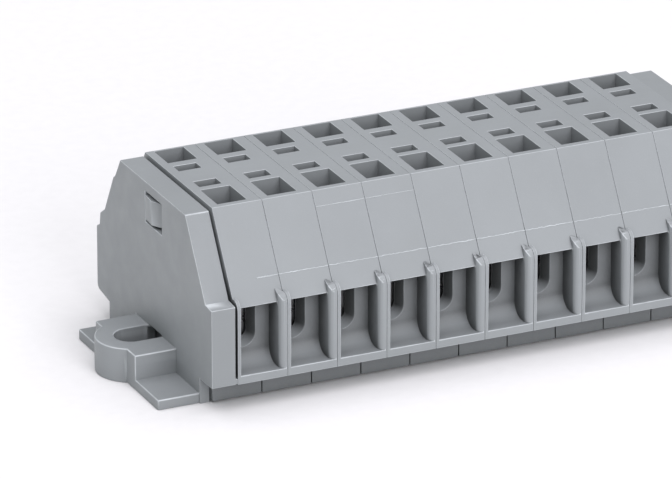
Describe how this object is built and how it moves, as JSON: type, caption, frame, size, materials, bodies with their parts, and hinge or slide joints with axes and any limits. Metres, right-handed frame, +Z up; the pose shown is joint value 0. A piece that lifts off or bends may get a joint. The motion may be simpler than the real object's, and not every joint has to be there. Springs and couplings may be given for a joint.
{
  "type": "terminal strip",
  "caption": "Row of snap-together screwless terminal modules with spring cage clamps, wire entries front and rear, and end plates with slotted screw flanges.",
  "frame": {"origin": "middle of the base, half way along the row and from front to rear", "axes": "+X along the row from the latch end plate to the other, -Y the front wire-entry side, +Z up"},
  "size_m": [0.0668, 0.0264, 0.0178],
  "materials": {
    "housing_polyamide": "fine moulded satin, light grey",
    "end_plate_polyamide": "fine moulded satin, grey",
    "tinned_copper": "dull tin plating",
    "spring_steel": "rolled spring strip"
  },
  "bodies": {
    "strip": {"end_plate_left": "end_plate_polyamide", "end_plate_right": "end_plate_polyamide", "housing_01": "housing_polyamide", "housing_02": "housing_polyamide", "housing_03": "housing_polyamide", "housing_04": "housing_polyamide", "housing_05": "housing_polyamide", "housing_06": "housing_polyamide", "housing_07": "housing_polyamide", "housing_08": "housing_polyamide", "housing_09": "housing_polyamide", "housing_10": "housing_polyamide", "busbar_01": "tinned_copper", "busbar_02": "tinned_copper", "busbar_03": "tinned_copper", "busbar_04": "tinned_copper", "busbar_05": "tinned_copper", "busbar_06": "tinned_copper", "busbar_07": "tinned_copper", "busbar_08": "tinned_copper", "busbar_09": "tinned_copper", "busbar_10": "tinned_copper"},
    "clamp_front_01": {"clamp_front_01": "spring_steel"},
    "clamp_rear_01": {"clamp_rear_01": "spring_steel"},
    "clamp_front_02": {"clamp_front_02": "spring_steel"},
    "clamp_rear_02": {"clamp_rear_02": "spring_steel"},
    "clamp_front_03": {"clamp_front_03": "spring_steel"},
    "clamp_rear_03": {"clamp_rear_03": "spring_steel"},
    "clamp_front_04": {"clamp_front_04": "spring_steel"},
    "clamp_rear_04": {"clamp_rear_04": "spring_steel"},
    "clamp_front_05": {"clamp_front_05": "spring_steel"},
    "clamp_rear_05": {"clamp_rear_05": "spring_steel"},
    "clamp_front_06": {"clamp_front_06": "spring_steel"},
    "clamp_rear_06": {"clamp_rear_06": "spring_steel"},
    "clamp_front_07": {"clamp_front_07": "spring_steel"},
    "clamp_rear_07": {"clamp_rear_07": "spring_steel"},
    "clamp_front_08": {"clamp_front_08": "spring_steel"},
    "clamp_rear_08": {"clamp_rear_08": "spring_steel"},
    "clamp_front_09": {"clamp_front_09": "spring_steel"},
    "clamp_rear_09": {"clamp_rear_09": "spring_steel"},
    "clamp_front_10": {"clamp_front_10": "spring_steel"},
    "clamp_rear_10": {"clamp_rear_10": "spring_steel"}
  },
  "joints": [
    {"name": "clamp_front_01_press", "type": "hinge", "parent": "strip", "child": "clamp_front_01", "pos_m": [-0.02308, -0.0034, 0.01098], "axis": [1, 0, 0], "range_deg": [0, 18], "stiffness_Nm_per_rad": 0.02, "springref_deg": -11.46},
    {"name": "clamp_rear_01_press", "type": "hinge", "parent": "strip", "child": "clamp_rear_01", "pos_m": [-0.02308, 0.0034, 0.01098], "axis": [-1, 0, 0], "range_deg": [0, 18], "stiffness_Nm_per_rad": 0.02, "springref_deg": -11.46},
    {"name": "clamp_front_02_press", "type": "hinge", "parent": "strip", "child": "clamp_front_02", "pos_m": [-0.01808, -0.0034, 0.01098], "axis": [1, 0, 0], "range_deg": [0, 18], "stiffness_Nm_per_rad": 0.02, "springref_deg": -11.46},
    {"name": "clamp_rear_02_press", "type": "hinge", "parent": "strip", "child": "clamp_rear_02", "pos_m": [-0.01808, 0.0034, 0.01098], "axis": [-1, 0, 0], "range_deg": [0, 18], "stiffness_Nm_per_rad": 0.02, "springref_deg": -11.46},
    {"name": "clamp_front_03_press", "type": "hinge", "parent": "strip", "child": "clamp_front_03", "pos_m": [-0.01308, -0.0034, 0.01098], "axis": [1, 0, 0], "range_deg": [0, 18], "stiffness_Nm_per_rad": 0.02, "springref_deg": -11.46},
    {"name": "clamp_rear_03_press", "type": "hinge", "parent": "strip", "child": "clamp_rear_03", "pos_m": [-0.01308, 0.0034, 0.01098], "axis": [-1, 0, 0], "range_deg": [0, 18], "stiffness_Nm_per_rad": 0.02, "springref_deg": -11.46},
    {"name": "clamp_front_04_press", "type": "hinge", "parent": "strip", "child": "clamp_front_04", "pos_m": [-0.00808, -0.0034, 0.01098], "axis": [1, 0, 0], "range_deg": [0, 18], "stiffness_Nm_per_rad": 0.02, "springref_deg": -11.46},
    {"name": "clamp_rear_04_press", "type": "hinge", "parent": "strip", "child": "clamp_rear_04", "pos_m": [-0.00808, 0.0034, 0.01098], "axis": [-1, 0, 0], "range_deg": [0, 18], "stiffness_Nm_per_rad": 0.02, "springref_deg": -11.46},
    {"name": "clamp_front_05_press", "type": "hinge", "parent": "strip", "child": "clamp_front_05", "pos_m": [-0.00308, -0.0034, 0.01098], "axis": [1, 0, 0], "range_deg": [0, 18], "stiffness_Nm_per_rad": 0.02, "springref_deg": -11.46},
    {"name": "clamp_rear_05_press", "type": "hinge", "parent": "strip", "child": "clamp_rear_05", "pos_m": [-0.00308, 0.0034, 0.01098], "axis": [-1, 0, 0], "range_deg": [0, 18], "stiffness_Nm_per_rad": 0.02, "springref_deg": -11.46},
    {"name": "clamp_front_06_press", "type": "hinge", "parent": "strip", "child": "clamp_front_06", "pos_m": [0.00192, -0.0034, 0.01098], "axis": [1, 0, 0], "range_deg": [0, 18], "stiffness_Nm_per_rad": 0.02, "springref_deg": -11.46},
    {"name": "clamp_rear_06_press", "type": "hinge", "parent": "strip", "child": "clamp_rear_06", "pos_m": [0.00192, 0.0034, 0.01098], "axis": [-1, 0, 0], "range_deg": [0, 18], "stiffness_Nm_per_rad": 0.02, "springref_deg": -11.46},
    {"name": "clamp_front_07_press", "type": "hinge", "parent": "strip", "child": "clamp_front_07", "pos_m": [0.00692, -0.0034, 0.01098], "axis": [1, 0, 0], "range_deg": [0, 18], "stiffness_Nm_per_rad": 0.02, "springref_deg": -11.46},
    {"name": "clamp_rear_07_press", "type": "hinge", "parent": "strip", "child": "clamp_rear_07", "pos_m": [0.00692, 0.0034, 0.01098], "axis": [-1, 0, 0], "range_deg": [0, 18], "stiffness_Nm_per_rad": 0.02, "springref_deg": -11.46},
    {"name": "clamp_front_08_press", "type": "hinge", "parent": "strip", "child": "clamp_front_08", "pos_m": [0.01192, -0.0034, 0.01098], "axis": [1, 0, 0], "range_deg": [0, 18], "stiffness_Nm_per_rad": 0.02, "springref_deg": -11.46},
    {"name": "clamp_rear_08_press", "type": "hinge", "parent": "strip", "child": "clamp_rear_08", "pos_m": [0.01192, 0.0034, 0.01098], "axis": [-1, 0, 0], "range_deg": [0, 18], "stiffness_Nm_per_rad": 0.02, "springref_deg": -11.46},
    {"name": "clamp_front_09_press", "type": "hinge", "parent": "strip", "child": "clamp_front_09", "pos_m": [0.01692, -0.0034, 0.01098], "axis": [1, 0, 0], "range_deg": [0, 18], "stiffness_Nm_per_rad": 0.02, "springref_deg": -11.46},
    {"name": "clamp_rear_09_press", "type": "hinge", "parent": "strip", "child": "clamp_rear_09", "pos_m": [0.01692, 0.0034, 0.01098], "axis": [-1, 0, 0], "range_deg": [0, 18], "stiffness_Nm_per_rad": 0.02, "springref_deg": -11.46},
    {"name": "clamp_front_10_press", "type": "hinge", "parent": "strip", "child": "clamp_front_10", "pos_m": [0.02192, -0.0034, 0.01098], "axis": [1, 0, 0], "range_deg": [0, 18], "stiffness_Nm_per_rad": 0.02, "springref_deg": -11.46},
    {"name": "clamp_rear_10_press", "type": "hinge", "parent": "strip", "child": "clamp_rear_10", "pos_m": [0.02192, 0.0034, 0.01098], "axis": [-1, 0, 0], "range_deg": [0, 18], "stiffness_Nm_per_rad": 0.02, "springref_deg": -11.46}
  ]
}
